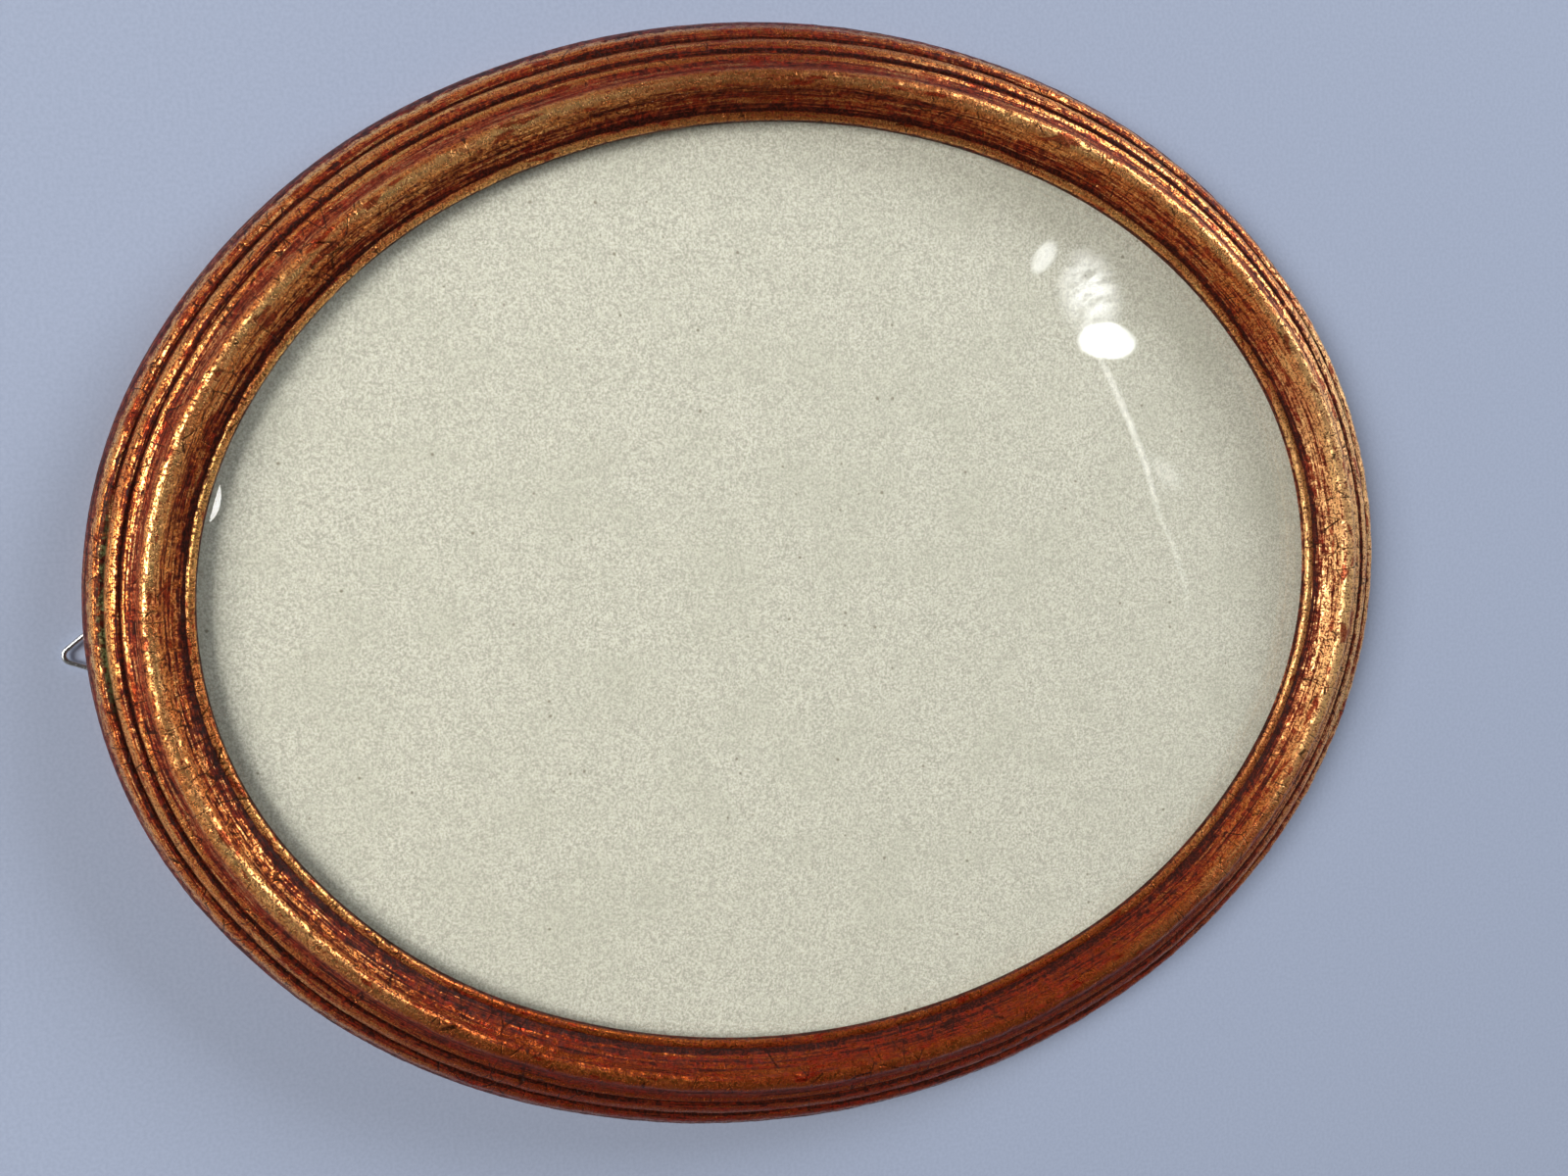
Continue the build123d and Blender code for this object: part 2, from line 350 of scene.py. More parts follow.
def apply_all(piece):
    """Apply the piece's modifiers, in their order."""
    only(piece)
    for modifier in list(piece.modifiers):
        bpy.ops.object.modifier_apply(modifier=modifier.name)


def combine(piece, operation, tool):
    """Apply a Boolean operation with a tool, which is then removed."""
    modifier = piece.modifiers.new("combine", "BOOLEAN")
    modifier.operation = operation
    modifier.solver = "EXACT"
    modifier.object = tool
    apply_all(piece)
    bpy.data.objects.remove(tool)


def smooth_shading(piece, angle=40):
    """Smooth shading, with a crisp line where faces meet at more than the angle."""
    only(piece)
    bpy.ops.object.shade_smooth_by_angle(angle=math.radians(angle))


# Moulding

def spun_segment(name, start, end, section):
    """Moulding between two angles: the section turned about the centre of each arc."""
    arcs = arcs_between(start, end)
    centre, radius = arcs[0][:2]
    places = {}
    for place, stretch, across, wear in section:
        spot = centre + outward(start) * (radius - place.x) + Vector((0, 0, place.y))
        places[spot.to_tuple(PLACE_DIGITS)] = (spot, stretch, across, wear)
    piece = drawn_loop(name, [row[0] for row in places.values()])
    values = []
    for vertex in piece.data.vertices:
        nearest = min(places.values(), key=lambda row: (row[0] - vertex.co).length)
        values.append(places.get(vertex.co.to_tuple(PLACE_DIGITS), nearest))
    for label, column in (("stretch", 1), ("across", 2)):
        layer = piece.data.attributes.new(label, "FLOAT", "POINT")
        layer.data.foreach_set("value", [row[column] for row in values])
    worn = piece.vertex_groups.new(name="worn")
    for number, row in enumerate(values):
        worn.add([number], row[3], "REPLACE")
    corners = [row[0] for row in values if 0 < row[1] <= FACE_STRETCHES and row[1] == int(row[1])]
    select_points(piece, corners)
    mode("EDIT")
    bpy.ops.mesh.vertices_smooth(factor=0.5)
    bpy.ops.mesh.select_all(action="SELECT")
    for centre, radius, first, last in arcs:
        turn = math.radians(last - first)
        steps = max(2, round(radius * turn / ROUND_STEP))
        bpy.ops.mesh.spin(steps=steps, angle=turn, center=centre, axis=(0, 0, 1))
    bpy.ops.mesh.select_mode(type="EDGE")
    mode("OBJECT")
    select_runs(piece)
    mode("EDIT")
    bpy.ops.mesh.subdivide(number_cuts=ROUND_CUTS)
    bpy.ops.mesh.select_mode(type="VERT")
    bpy.ops.mesh.select_all(action="SELECT")
    bpy.ops.mesh.fill_holes(sides=0)
    bpy.ops.mesh.normals_make_consistent(inside=False)
    mode("OBJECT")
    return piece


def lay_out(piece, from_top):
    """Flat map of the moulding's face, and which stretch of the section each point is on."""
    mesh = piece.data
    stretch = [0.0] * len(mesh.vertices)
    across = [0.0] * len(mesh.vertices)
    mesh.attributes["stretch"].data.foreach_get("value", stretch)
    mesh.attributes["across"].data.foreach_get("value", across)
    distance = [round_distance(full_angle(vertex.co.x, vertex.co.y, from_top))
                for vertex in mesh.vertices]
    lay = mesh.uv_layers.new(name="lay")
    band = mesh.uv_layers.new(name="band")
    ends = [0] * len(mesh.loops)
    mesh.loops.foreach_get("vertex_index", ends)
    lay.data.foreach_set("uv", [value for end in ends for value in (distance[end], across[end])])
    bands = [value for end in ends for value in (stretch[end] / GILDED_STRETCHES, 0.0)]
    band.data.foreach_set("uv", bands)
    for face in mesh.polygons:
        middle = sum(stretch[end] for end in face.vertices) / len(face.vertices)
        face.material_index = 0 if middle < GILDED_STRETCHES and len(face.vertices) < 5 else 1
    mesh.attributes.remove(mesh.attributes["stretch"])
    mesh.attributes.remove(mesh.attributes["across"])


def wear_texture(name, kind, size, **settings):
    """Pattern that the wear on the moulding follows."""
    texture = bpy.data.textures.new(name, kind)
    texture.noise_scale = size
    for key, value in settings.items():
        setattr(texture, key, value)
    return texture


WEAR = (
    # pattern, laid along the moulding or not, depth, level that stays where it is
    (wear_texture("uneven_gesso", "CLOUDS", 22 * MM, noise_depth=1), False, 0.5 * MM, 0.5),
    (wear_texture("lumps", "CLOUDS", 4.5 * MM, noise_depth=2), False, 0.4 * MM, 0.55),
    (wear_texture("combed_strokes", "CLOUDS", 1.0, noise_depth=2), True, 0.2 * MM, 0.6),
    (wear_texture("chips", "CLOUDS", 2.1 * MM, noise_depth=3, contrast=3.0), False, 0.16 * MM, 1.0),
)
STROKE_LENGTH = 11 * MM
STROKE_WIDTH = 0.8 * MM


def wear_down(piece):
    """Uneven, combed and chipped surface of old gesso, pressed into the mesh."""
    strokes = piece.data.uv_layers.new(name="strokes")
    rows = [0.0] * (2 * len(piece.data.loops))
    piece.data.uv_layers["lay"].data.foreach_get("uv", rows)
    rows[0::2] = [value / STROKE_LENGTH for value in rows[0::2]]
    rows[1::2] = [value / STROKE_WIDTH for value in rows[1::2]]
    strokes.data.foreach_set("uv", rows)
    for texture, along, depth, level in WEAR:
        modifier = piece.modifiers.new(texture.name, "DISPLACE")
        modifier.texture = texture
        modifier.texture_coords = "UV" if along else "LOCAL"
        if along:
            modifier.uv_layer = "strokes"
        modifier.strength = depth
        modifier.mid_level = level
        modifier.vertex_group = "worn"
    apply_all(piece)
    piece.data.uv_layers.remove(piece.data.uv_layers["strokes"])
    piece.vertex_groups.clear()


def joint_frame(angle):
    """Centre of a joint's arc, its line outwards and the way along it to the end of the oval."""
    centre = next(centre for centre, radius, first, last in ARCS if first <= angle <= last)
    forwards = Vector((math.cos(math.radians(angle)), -math.sin(math.radians(angle)), 0))
    to_end = -forwards if angle in (JOINT_ANGLE, 180 + JOINT_ANGLE) else forwards
    return centre, outward(angle), to_end


def finger_line():
    """Zigzag of the finger joint: distance from the arc's centre, and along it."""
    width = (RABBET_INSET - 2 * FINGER_MARGIN) / FINGER_COUNT
    first = SHOULDER_RADIUS - FINGER_MARGIN
    line = [(SHOULDER_RADIUS + MM, 0), (first, 0)]
    for number in range(FINGER_COUNT):
        depth = FINGER_LENGTH / 2 * (-1) ** number
        line.append((first - number * width, depth))
        line.append((first - (number + 1) * width, depth))
    line.append((first - FINGER_COUNT * width, 0))
    line.append((SHOULDER_RADIUS - MOULDING_WIDTH - MM, 0))
    return line


def finger_cutter(angle, side):
    """Block that takes off the waste beyond a joint's fingers."""
    centre, out, to_end = joint_frame(angle)
    line = finger_line()
    beyond = side * 2 * FINGER_LENGTH
    outline = line + [(line[-1][0], beyond), (line[0][0], beyond)]
    under = Vector((0, 0, -MM))
    places = [centre + out * x + to_end * y + under for x, y in outline]
    return upright_block("finger_cutter", places, CREST_HEIGHT + 3 * MM)


def cut_fingers(piece, joints, side, finishes):
    """Cut the fingers at both ends of a segment."""
    cutters = [finger_cutter(angle, side) for angle in joints]
    only(cutters[0])
    cutters[1].select_set(True)
    bpy.ops.object.join()
    for finish in finishes:
        cutters[0].data.materials.append(finish)
    for face in cutters[0].data.polygons:
        face.material_index = 1
    combine(piece, "DIFFERENCE", cutters[0])


def mark_joints(piece, joints):
    """Distance of each point from the nearest joint line, for the hairline along it."""
    line = finger_line()
    distances = [10 * MM] * len(piece.data.vertices)
    for angle in joints:
        centre, out, to_end = joint_frame(angle)
        for number, vertex in enumerate(piece.data.vertices):
            spot = vertex.co - centre
            x, y = spot.dot(out), spot.dot(to_end)
            if abs(y) > FINGER_LENGTH or x < 0:
                continue
            for (x0, y0), (x1, y1) in zip(line, line[1:]):
                run = Vector((x1 - x0, y1 - y0))
                share = max(0.0, min(1.0, ((x - x0) * run.x + (y - y0) * run.y) / run.length_squared))
                gap = math.hypot(x - x0 - share * run.x, y - y0 - share * run.y)
                distances[number] = min(distances[number], gap)
    piece.data.attributes.new("joint", "FLOAT", "POINT").data.foreach_set("value", distances)


def moulding(finishes_along, finishes_across):
    """The four gilded segments of the ring, joined by fingers."""
    section = section_points()
    excess = math.degrees(FINGER_LENGTH / SHOULDER_RADIUS)
    segments = (
        # node, angles of its two joints, side of the waste, finishes
        ("moulding_top", -JOINT_ANGLE, JOINT_ANGLE, -1, finishes_across),
        ("moulding_right", JOINT_ANGLE, 180 - JOINT_ANGLE, 1, finishes_along),
        ("moulding_bottom", 180 - JOINT_ANGLE, 180 + JOINT_ANGLE, -1, finishes_across),
        ("moulding_left", 180 + JOINT_ANGLE, 360 - JOINT_ANGLE, 1, finishes_along),
    )
    for node, start, end, side, finishes in segments:
        ends = (start % 360, end)
        piece = spun_segment("gilded_" + node, start - excess, end + excess, section)
        for finish in finishes:
            piece.data.materials.append(finish)
        lay_out(piece, node == "moulding_top")
        wear_down(piece)
        cut_fingers(piece, ends, side, finishes)
        mark_joints(piece, ends)
        smooth_shading(piece)
        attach(piece, "frame")
        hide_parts(node)


# Materials

def srgb(red, green, blue):
    """Colour as a picture shows it, from 0 to 255, as the light it reflects."""
    shares = [value / 255 for value in (red, green, blue)]
    return [share / 12.92 if share <= 0.04045 else ((share + 0.055) / 1.055) ** 2.4
            for share in shares] + [1.0]


def fill(tree, node, inputs):
    """Give a node its inputs: values, or sockets to link."""
    for key, value in inputs.items():
        if isinstance(value, bpy.types.NodeSocket):
            tree.links.new(value, node.inputs[key])
        else:
            node.inputs[key].default_value = value


def put(tree, kind, inputs=None, **settings):
    """Add a shader node, with its settings and its inputs."""
    made = tree.nodes.new("ShaderNode" + kind)
    for key, value in settings.items():
        setattr(made, key, value)
    fill(tree, made, inputs or {})
    return made


def calc(tree, operation, first, second=0.0, third=0.0):
    """Arithmetic on values."""
    return put(tree, "Math", {0: first, 1: second, 2: third}, operation=operation).outputs[0]


def times(tree, first, second):
    """Product of two values."""
    return calc(tree, "MULTIPLY", first, second)


def total(tree, terms):
    """Sum of values, each times its weight."""
    reached = None
    for value, weight in terms:
        part = value if weight == 1 else times(tree, value, weight)
        reached = part if reached is None else calc(tree, "ADD", reached, part)
    return reached


def mixed(tree, factor, first, second, blend="MIX"):
    """Blend two colours."""
    sockets = {0: factor, 6: first, 7: second}
    return put(tree, "Mix", sockets, data_type="RGBA", blend_type=blend).outputs[2]


def spread(tree, value, low, high, bottom=0.0, top=1.0):
    """Stretch the part of a value between low and high, softly, to a new range."""
    sockets = {"Value": value, "From Min": low, "From Max": high, "To Min": bottom, "To Max": top}
    return put(tree, "MapRange", sockets, interpolation_type="SMOOTHSTEP").outputs["Result"]


def glaze(tree, under, colour, value, low, high, most=1.0):
    """Lay a colour over another, from none where a value is low to the most where high."""
    return mixed(tree, spread(tree, value, low, high, 0.0, most), under, srgb(*colour))


def noise(tree, place, detail, rough):
    """Soft noise whose lumps are about 1 wide."""
    sockets = {"Vector": place, "Scale": 1.0, "Detail": detail, "Roughness": rough}
    return put(tree, "TexNoise", sockets).outputs["Fac"]


def cloud(tree, place, size, detail=3.0, rough=0.55, stretch=(1, 1, 1), shift=(0, 0, 0)):
    """Soft noise whose lumps are about this size, in metres."""
    scale = [share / size for share in stretch]
    laid = put(tree, "Mapping", {"Vector": place, "Scale": scale, "Location": shift})
    return noise(tree, laid.outputs["Vector"], detail, rough)


def ramp(tree, value, stops):
    """Colour ramp through stops of position and colour."""
    made = put(tree, "ValToRGB", {"Fac": value})
    bar = made.color_ramp
    for position, colour in stops[1:-1]:
        bar.elements.new(position).color = colour
    bar.elements[0].position, bar.elements[0].color = stops[0]
    bar.elements[-1].position, bar.elements[-1].color = stops[-1]
    return made.outputs["Color"]


def parts_of(tree, place):
    """The coordinates of a place."""
    return put(tree, "SeparateXYZ", {0: place}).outputs


def drawn_out(tree, place, lengths):
    """A place whose coordinates are each divided by a length."""
    parts = parts_of(tree, place)
    sockets = {number: calc(tree, "DIVIDE", parts[number], length)
               for number, length in enumerate(lengths)}
    return put(tree, "CombineXYZ", sockets).outputs[0]


def bump(tree, height, strength, distance):
    """Normal of a surface with relief."""
    sockets = {"Height": height, "Strength": strength, "Distance": distance}
    return put(tree, "Bump", sockets).outputs["Normal"]


def let_through(tree, surface, mask, colour=(1, 1, 1, 1)):
    """Let light straight through the surface where the mask is 1."""
    clear = put(tree, "BsdfTransparent", {"Color": colour})
    both = put(tree, "MixShader", {0: mask, 1: surface.outputs[0], 2: clear.outputs[0]})
    fill(tree, tree.nodes["Material Output"], {"Surface": both.outputs[0]})


def new_material(name):
    """Material with its tree, its surface shader and the place in the piece's own axes."""
    material = bpy.data.materials.new(name)
    material.use_nodes = True
    tree = material.node_tree
    return material, tree, tree.nodes["Principled BSDF"], put(tree, "TexCoord").outputs["Object"]


def new_group(name, inputs, outputs):
    """Node group with named sockets; gives the tree and its two ends."""
    tree = bpy.data.node_groups.new(name, "ShaderNodeTree")
    for labels, way in ((inputs, "INPUT"), (outputs, "OUTPUT")):
        for label in labels:
            kind = "Vector" if label in ("Lay", "Place") else "Float"
            tree.interface.new_socket(label, in_out=way, socket_type="NodeSocket" + kind)
    return tree, tree.nodes.new("NodeGroupInput").outputs, tree.nodes.new("NodeGroupOutput")


def use(tree, group, inputs):
    """Place a node group, with this material's own values."""
    return put(tree, "Group", inputs, node_tree=group).outputs


def ring_place_group():
    """Bends the flat map of the moulding into a ring, so that patterns close on themselves."""
    tree, given, out = new_group("ring_place", ("Lay",), ("Place",))
    parts = parts_of(tree, given["Lay"])
    turn = times(tree, parts[0], 2 * math.pi / RING_LENGTH)
    reach = RING_LENGTH / (2 * math.pi)
    x = times(tree, calc(tree, "COSINE", turn), reach)
    y = times(tree, calc(tree, "SINE", turn), reach)
    fill(tree, out, {"Place": put(tree, "CombineXYZ", {0: x, 1: y, 2: parts[1]}).outputs[0]})
    return tree


# Largest of the specks, as a share of their spacing
SPECK_SIZE = 0.16


def specks_group():
    """Scattered small specks: a mask that is 1 on them."""
    tree, given, out = new_group("specks", ("Place", "Spacing", "Share"), ("Mask",))
    dense = calc(tree, "DIVIDE", 1.0, given["Spacing"])
    cells = put(tree, "TexVoronoi", {"Vector": given["Place"], "Scale": dense, "Randomness": 1.0})
    chance = put(tree, "SeparateColor", {0: cells.outputs["Color"]}).outputs
    size = times(tree, chance[1], SPECK_SIZE)
    near = spread(tree, cells.outputs["Distance"], size, times(tree, size, 0.5))
    chosen = calc(tree, "LESS_THAN", chance[0], given["Share"])
    fill(tree, out, {"Mask": times(tree, near, chosen)})
    return tree


# Likeness of the rounded and the true normal: where rubbing begins, where it is full
RUBBED = (0.995, 0.93)


def edge_wear_group():
    """Where an edge is rubbed: a mask that is 1 on the sharp edges of a shape."""
    tree, given, out = new_group("edge_wear", ("Place", "Reach", "Patches"), ("Mask",))
    round_normal = put(tree, "Bevel", {"Radius": given["Reach"]}, samples=6).outputs["Normal"]
    normal = put(tree, "NewGeometry").outputs["Normal"]
    alike = put(tree, "VectorMath", {0: round_normal, 1: normal}, operation="DOT_PRODUCT")
    edge = spread(tree, alike.outputs["Value"], *RUBBED)
    dense = calc(tree, "DIVIDE", 1.0, given["Patches"])
    patches = put(tree, "TexNoise", {"Vector": given["Place"], "Scale": dense, "Detail": 3.0})
    patches = spread(tree, patches.outputs["Fac"], 0.35, 0.6)
    fill(tree, out, {"Mask": times(tree, edge, patches)})
    return tree


# Width of the bands in the grain of wood, in widths of its fibres
BAND_WIDTH = 7.0


def grain_group():
    """Long grain: fibres along X of the place given, with wider bands between them."""
    tree, given, out = new_group("grain", ("Place", "Width", "Length"), ("Fibres", "Bands"))
    for label, fibres, detail in (("Fibres", 1.0, 4.0), ("Bands", BAND_WIDTH, 2.0)):
        wide = times(tree, given["Width"], fibres)
        laid = drawn_out(tree, given["Place"], (given["Length"], wide, wide))
        fill(tree, out, {label: noise(tree, laid, detail, 0.6)})
    return tree


def strokes_group():
    """Strokes drawn out along the moulding, of a length and a width."""
    tree, given, out = new_group("strokes", ("Place", "Length", "Width"), ("Stroke",))
    laid = drawn_out(tree, given["Place"], (given["Length"], given["Length"], given["Width"]))
    fill(tree, out, {"Stroke": noise(tree, laid, 3.0, 0.55)})
    return tree


RING_PLACE = ring_place_group()
STROKES = strokes_group()
SPECKS = specks_group()
EDGE_WEAR = edge_wear_group()
GRAIN = grain_group()

# Leaf over the section: stretch of the face and share of it, and the leaf's colour
LEAF_COLOURS = (
    (0.0, (120, 58, 30)), (0.2, (90, 38, 20)), (0.86, (120, 54, 28)), (0.97, (255, 204, 132)),
    (1.15, (250, 182, 106)), (1.5, (240, 146, 74)), (1.85, (196, 88, 38)),
    (2.05, (140, 56, 26)), (2.9, (116, 44, 20)), (3.6, (170, 74, 34)),
    (3.95, (255, 208, 136)), (4.2, (250, 176, 98)), (4.6, (238, 144, 72)), (4.95, (200, 84, 36)),
    (5.2, (160, 38, 16)), (5.9, (146, 34, 15)), (6.7, (186, 78, 34)),
    (7.05, (250, 172, 94)), (7.7, (232, 134, 66)),
    (8.05, (186, 88, 54)), (8.75, (172, 80, 50)), (9.0, (216, 120, 62)),
    (9.3, (248, 170, 96)), (9.6, (255, 200, 128)), (9.95, (240, 152, 80)),
    (10.4, (232, 142, 70)), (10.85, (206, 108, 50)),
    (11.15, (110, 24, 11)), (11.85, (126, 34, 16)),
    (12.15, (248, 180, 102)), (13.0, (252, 190, 112)), (13.4, (150, 66, 30)),
)

# Where brown patina holds: the same places, and how readily it covers the leaf there
PATINA_HOLD = (
    (0.0, 0.50), (0.2, 0.66), (0.85, 0.62), (0.98, 0.28), (1.2, 0.40), (1.6, 0.48), (1.95, 0.62),
    (2.1, 0.70), (2.9, 0.76), (3.5, 0.56), (3.95, 0.26), (4.2, 0.40), (4.7, 0.45), (5.0, 0.72),
    (5.2, 0.72), (6.1, 0.74), (6.8, 0.55), (7.1, 0.38), (7.7, 0.46), (8.1, 0.56), (8.8, 0.55),
    (9.1, 0.42), (9.6, 0.33), (9.95, 0.44), (10.3, 0.52), (10.8, 0.56), (11.1, 0.82), (11.8, 0.76),
    (12.2, 0.42), (12.9, 0.34), (13.3, 0.7),
)

# Brush strokes in the gilding, broad, fine and as thin as a hair: length and width
BRUSH_STROKES = ((45 * MM, 1.5 * MM), (16 * MM, 0.46 * MM), (7 * MM, 0.2 * MM))

# Sizes of the patches of bole and of the cells between cracks, the last across the moulding
BOLE_PATCHES = (9 * MM, 9 * MM, 2.2 * MM)
CRACKED_CELLS = (4.2 * MM, 4.2 * MM, 9 * MM)

# Middle of the verdigris by the hanger, and the stretches at the sides of its groove
VERDIGRIS = (8 * MM, 147 * MM, 9 * MM)
GROOVE_SIDES = ((1.5, 2.0), (4.0, 3.5))


def worn_gilding():
    """Copper-gold leaf on red bole, rubbed on its ridges and brown in its hollows, with painted shade
    on the oval's long sides and a painted highlight at its -Y end.
    """
    material, tree, surface, here = new_material("worn_gilding")
    lay, band = [put(tree, "UVMap", uv_map=name).outputs["UV"] for name in ("lay", "band")]
    ring = use(tree, RING_PLACE, {"Lay": lay})["Place"]
    lumps = cloud(tree, here, 2.2 * MM, detail=3)
    wander = times(tree, calc(tree, "SUBTRACT", lumps, 0.5), 0.035)
    stretch = calc(tree, "ADD", parts_of(tree, band)[0], wander)
    leaf = ramp(tree, stretch, [(at / GILDED_STRETCHES, srgb(*colour))
                                for at, colour in LEAF_COLOURS])
    hold = ramp(tree, stretch, [(at / GILDED_STRETCHES, (share, share, share, 1))
                                for at, share in PATINA_HOLD])

    # Strokes of the brush run along the ring, over a tone that drifts
    broad, fine, hair = [
        use(tree, STROKES, {"Place": ring, "Length": length, "Width": width})["Stroke"]
        for length, width in BRUSH_STROKES]
    tone = cloud(tree, here, 20 * MM, detail=4)
    mottle = cloud(tree, here, 1.3 * MM, detail=4, rough=0.65)
    stipple = cloud(tree, here, 0.5 * MM, detail=2, rough=0.6)
    leaf = glaze(tree, leaf, (228, 108, 44), tone, 0.38, 0.68, 0.5)
    leaf = glaze(tree, leaf, (224, 100, 40), broad, 0.5, 0.62, 0.5)
    leaf = glaze(tree, leaf, (255, 206, 132), fine, 0.46, 0.34, 0.55)
    leaf = glaze(tree, leaf, (255, 210, 140), stipple, 0.52, 0.72, 0.4)

    # Painted shade: the long sides of the oval are darkened brown, most on the -X side, while its
    # ends keep the leaf's colour
    parts = parts_of(tree, here)
    along = times(tree, calc(tree, "ABSOLUTE", parts[1]), 1 / LONG_HALF)
    across = times(tree, parts[0], 0.35 / SHORT_HALF)
    painted_lit_ends = spread(tree, calc(tree, "ADD", along, across), 0.15, 0.8)
    painted_shade_sides = mixed(tree, 1.0, leaf, srgb(164, 116, 88), "MULTIPLY")
    leaf = mixed(tree, painted_lit_ends, painted_shade_sides, leaf)
    # Painted highlight: the leaf towards the -Y end of the oval is painted paler, with less patina
    # and more roughness
    painted_highlight_end = spread(tree, parts[1], -108 * MM, -140 * MM)
    leaf = mixed(tree, times(tree, painted_highlight_end, 0.5), leaf, srgb(255, 226, 164))

    # Bole shows red in patches where the leaf is rubbed through
    bole = cloud(tree, ring, 1.0, stretch=[1 / size for size in BOLE_PATCHES], shift=(4, 1, 7))
    leaf = glaze(tree, leaf, (150, 26, 10), bole, 0.6, 0.65, 0.8)

    # Patina covers the leaf between the strokes, darker where it lies thick, with pits; a little more
    # lies on the painted shade sides and less at the painted highlight end
    cover = total(tree, (
        (fine, 0.75), (hair, 0.4), (mottle, 0.6), (broad, 0.4), (hold, 1),
        (calc(tree, "SUBTRACT", 1.0, painted_lit_ends), 0.03), (painted_highlight_end, -0.07)))
    patina = spread(tree, cover, 1.54, 1.66)
    brown = glaze(tree, srgb(112, 40, 15), (140, 34, 11), lumps, 0.4, 0.6)
    brown = glaze(tree, brown, (40, 11, 4), cover, 1.64, 1.76)
    skin = mixed(tree, patina, leaf, brown)
    pits = spread(tree, stipple, 0.49, 0.41)
    dirt = mixed(tree, mottle, srgb(112, 34, 12), srgb(58, 14, 6))
    skin = mixed(tree, times(tree, pits, 0.85), skin, dirt)

    # Verdigris in the groove by the hanger
    away = put(tree, "VectorMath", {0: here, 1: VERDIGRIS}, operation="DISTANCE").outputs["Value"]
    green = times(tree, spread(tree, away, 26 * MM, 6 * MM),
                 spread(tree, lumps, 0.4, 0.52))
    near, far = [spread(tree, stretch, low / GILDED_STRETCHES, high / GILDED_STRETCHES)
                 for low, high in GROOVE_SIDES]
    green = times(tree, green, times(tree, near, far))
    crust = glaze(tree, srgb(46, 52, 26), (134, 140, 92), stipple, 0.4, 0.6)
    skin = mixed(tree, times(tree, green, 0.8), skin, crust)

    # Hairline cracks across the strokes here and there, and along the finger joints
    cells = cloud(tree, here, 3 * MM, detail=2, shift=(3, 3, 3))
    laid = put(tree, "Mapping", {"Vector": ring, "Scale": [1 / size for size in CRACKED_CELLS]})
    crack = put(tree, "TexVoronoi", {"Vector": laid.outputs["Vector"], "Scale": 1.0},
                feature="DISTANCE_TO_EDGE")
    crack = times(tree, spread(tree, crack.outputs["Distance"], 0.035, 0.012),
                 spread(tree, calc(tree, "ADD", tone, cells), 1.02, 1.14))
    joint = put(tree, "Attribute", attribute_name="joint").outputs["Fac"]
    seam = times(tree, spread(tree, joint, 0.22 * MM, 0.05 * MM),
                spread(tree, mottle, 0.42, 0.56))
    split = calc(tree, "MAXIMUM", crack, seam)
    skin = mixed(tree, times(tree, split, 0.85), skin, srgb(40, 14, 6))

    dull = calc(tree, "MAXIMUM", calc(tree, "MAXIMUM", patina, green),
                times(tree, pits, 0.8))
    rough = spread(tree, mottle, 0.3, 0.7, 0.23, 0.34)
    height = total(tree, ((pits, -0.3), (fine, -0.4), (hair, -0.15), (mottle, -0.2),
                          (patina, -0.25), (split, -0.5)))
    fill(tree, surface, {
        "Base Color": skin,
        "Metallic": spread(tree, dull, 0.0, 1.0, 0.9, 0.15),
        "Specular IOR Level": 0.15,
        # Rougher at the painted highlight end
        "Roughness": total(tree, ((rough, 1), (patina, 0.2), (painted_highlight_end, 0.16))),
        "Normal": bump(tree, height, 1.0, 0.2 * MM),
    })
    return material


def bare_wood(name, angle):
    """Sawn softwood of the ring's back, its grain turned by an angle from X."""
    material, tree, surface, here = new_material(name)
    turned = put(tree, "Mapping", {"Vector": here, "Rotation": (0, 0, math.radians(angle))})
    grain = use(tree, GRAIN, {"Place": turned.outputs["Vector"], "Width": 0.5 * MM,
                              "Length": 30 * MM})
    wood = glaze(tree, srgb(168, 122, 78), (126, 82, 48), grain["Bands"], 0.35, 0.65)
    wood = glaze(tree, wood, (88, 54, 32), grain["Fibres"], 0.5, 0.72, 0.6)
    stain = cloud(tree, here, 14 * MM, detail=4)
    fill(tree, surface, {
        "Base Color": glaze(tree, wood, (74, 46, 30), stain, 0.48, 0.7, 0.55),
        "Roughness": spread(tree, grain["Fibres"], 0.3, 0.7, 0.7, 0.92),
        "Normal": bump(tree, grain["Fibres"], 0.5, 0.3 * MM),
    })
    return material


def clear_glass():
    """Old domed glass: clear, with faint smears."""
    material, tree, surface, here = new_material("domed_glass")
    smears = cloud(tree, here, 9 * MM, detail=5, rough=0.65, stretch=(1, 0.5, 1))
    ripple = cloud(tree, here, 30 * MM, detail=1)
    fill(tree, surface, {
        "Base Color": srgb(252, 254, 253),
        "IOR": 1.5,
        "Transmission Weight": 1.0,
        "Roughness": spread(tree, smears, 0.5, 0.8, 0.0, 0.09),
        "Normal": bump(tree, ripple, 0.3, 0.3 * MM),
    })
    shadow = put(tree, "LightPath").outputs["Is Shadow Ray"]
    let_through(tree, surface, shadow, srgb(253, 254, 253))
    return material


